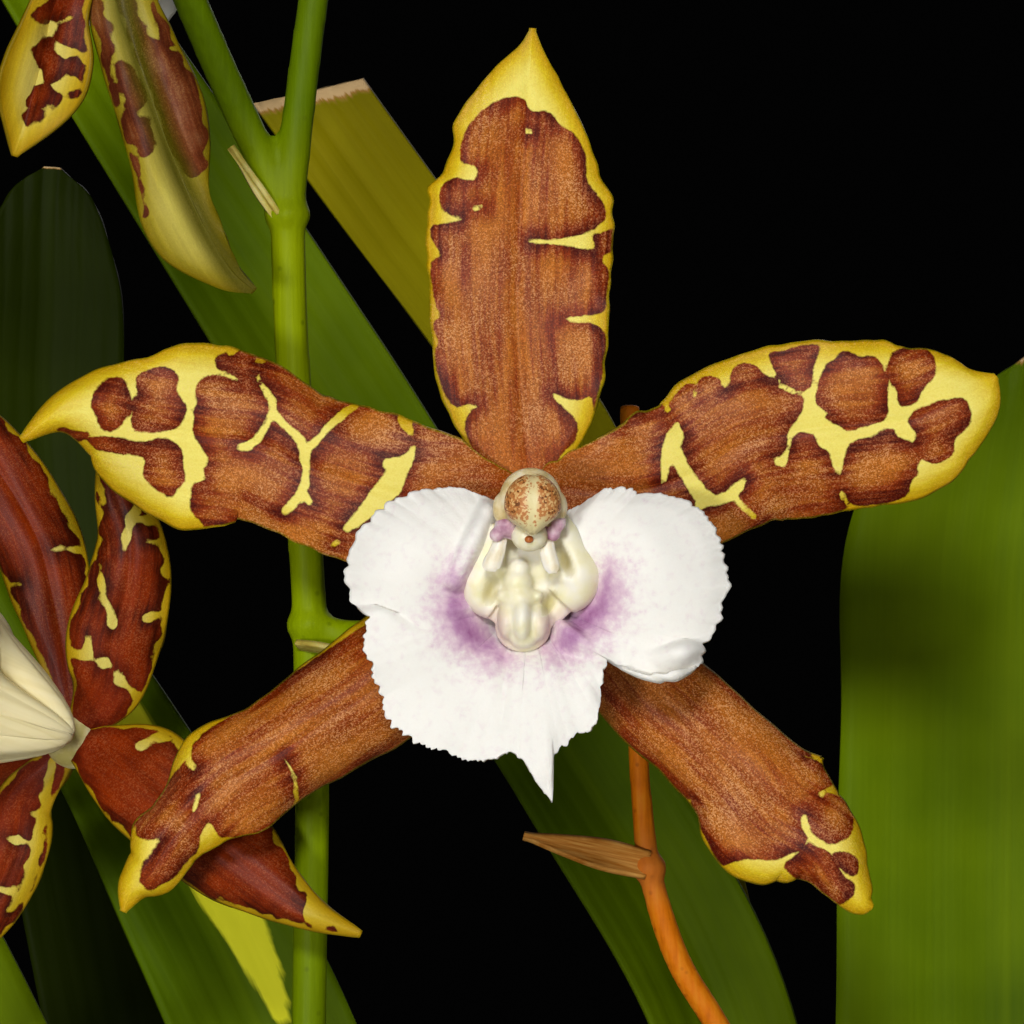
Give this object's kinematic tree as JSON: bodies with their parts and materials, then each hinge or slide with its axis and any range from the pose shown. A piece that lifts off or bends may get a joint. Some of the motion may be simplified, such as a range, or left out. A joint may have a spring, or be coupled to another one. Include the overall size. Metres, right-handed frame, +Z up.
{
  "type": "potted miltonia orchid",
  "caption": "Flowering miltonia type orchid in a plain clay pot, with pseudobulbs, strap leaves, a branched spike of barred brown flowers with white lips, and an old spike.",
  "frame": {"origin": "middle of the pot's flat underside", "axes": "+Z up the plant, -Y towards the side that the main flower faces, +X to the right as seen from that side"},
  "size_m": [0.3744, 0.2907, 0.515],
  "materials": {
    "clay": "matte fired clay",
    "bark": "rough",
    "bulb": "satin living skin",
    "rhizome": "rough",
    "leaf": "satin living leaf",
    "pale_leaf": "satin living leaf",
    "stem": "satin living stem",
    "dry_stem": "dry",
    "sheath": "dry papery",
    "tepal": "satin petal, brown barred with yellow",
    "lip": "satin petal, white",
    "column": "satin",
    "anther": "satin",
    "bud": "satin"
  },
  "bodies": {
    "root": {"pot": "clay", "bark": "bark", "rhizome": "rhizome", "bulb_front": "bulb", "bulb_right": "bulb", "bulb_middle": "bulb", "bulb_rear": "bulb", "bulb_left": "bulb", "bulb_side": "bulb", "bulb_old": "bulb", "sheath_1": "sheath", "sheath_2": "sheath", "sheath_3": "sheath", "sheath_4": "sheath", "leaf_right_tall": "leaf", "leaf_long_diagonal": "leaf", "leaf_pale_cut": "pale_leaf", "leaf_low_left": "leaf", "leaf_far_left": "leaf", "leaf_rear_left": "leaf", "leaf_arch_left": "leaf", "leaf_arch_front": "leaf", "leaf_arch_right": "leaf", "leaf_side_right": "leaf", "leaf_side_rear": "leaf", "leaf_rear_middle": "leaf", "spike": "stem", "old_spike": "dry_stem", "bud_1": "bud", "bud_2": "bud", "bud_3": "bud", "bud_4": "bud", "sepal_dorsal": "tepal", "petal_left": "tepal", "petal_right": "tepal", "sepal_left": "tepal", "sepal_right": "tepal", "lip": "lip", "column": "column", "anther_cap": "anther", "bloom_left_tepals": "tepal", "bloom_left_lip": "lip", "bloom_left_column": "column", "bloom_upper_tepals": "tepal", "bloom_upper_lip": "lip", "bloom_upper_column": "column", "bloom_high_tepals": "tepal", "bloom_high_lip": "lip", "bloom_high_column": "column", "bloom_crown_tepals": "tepal", "bloom_crown_lip": "lip", "bloom_crown_column": "column"}
  },
  "joints": []
}
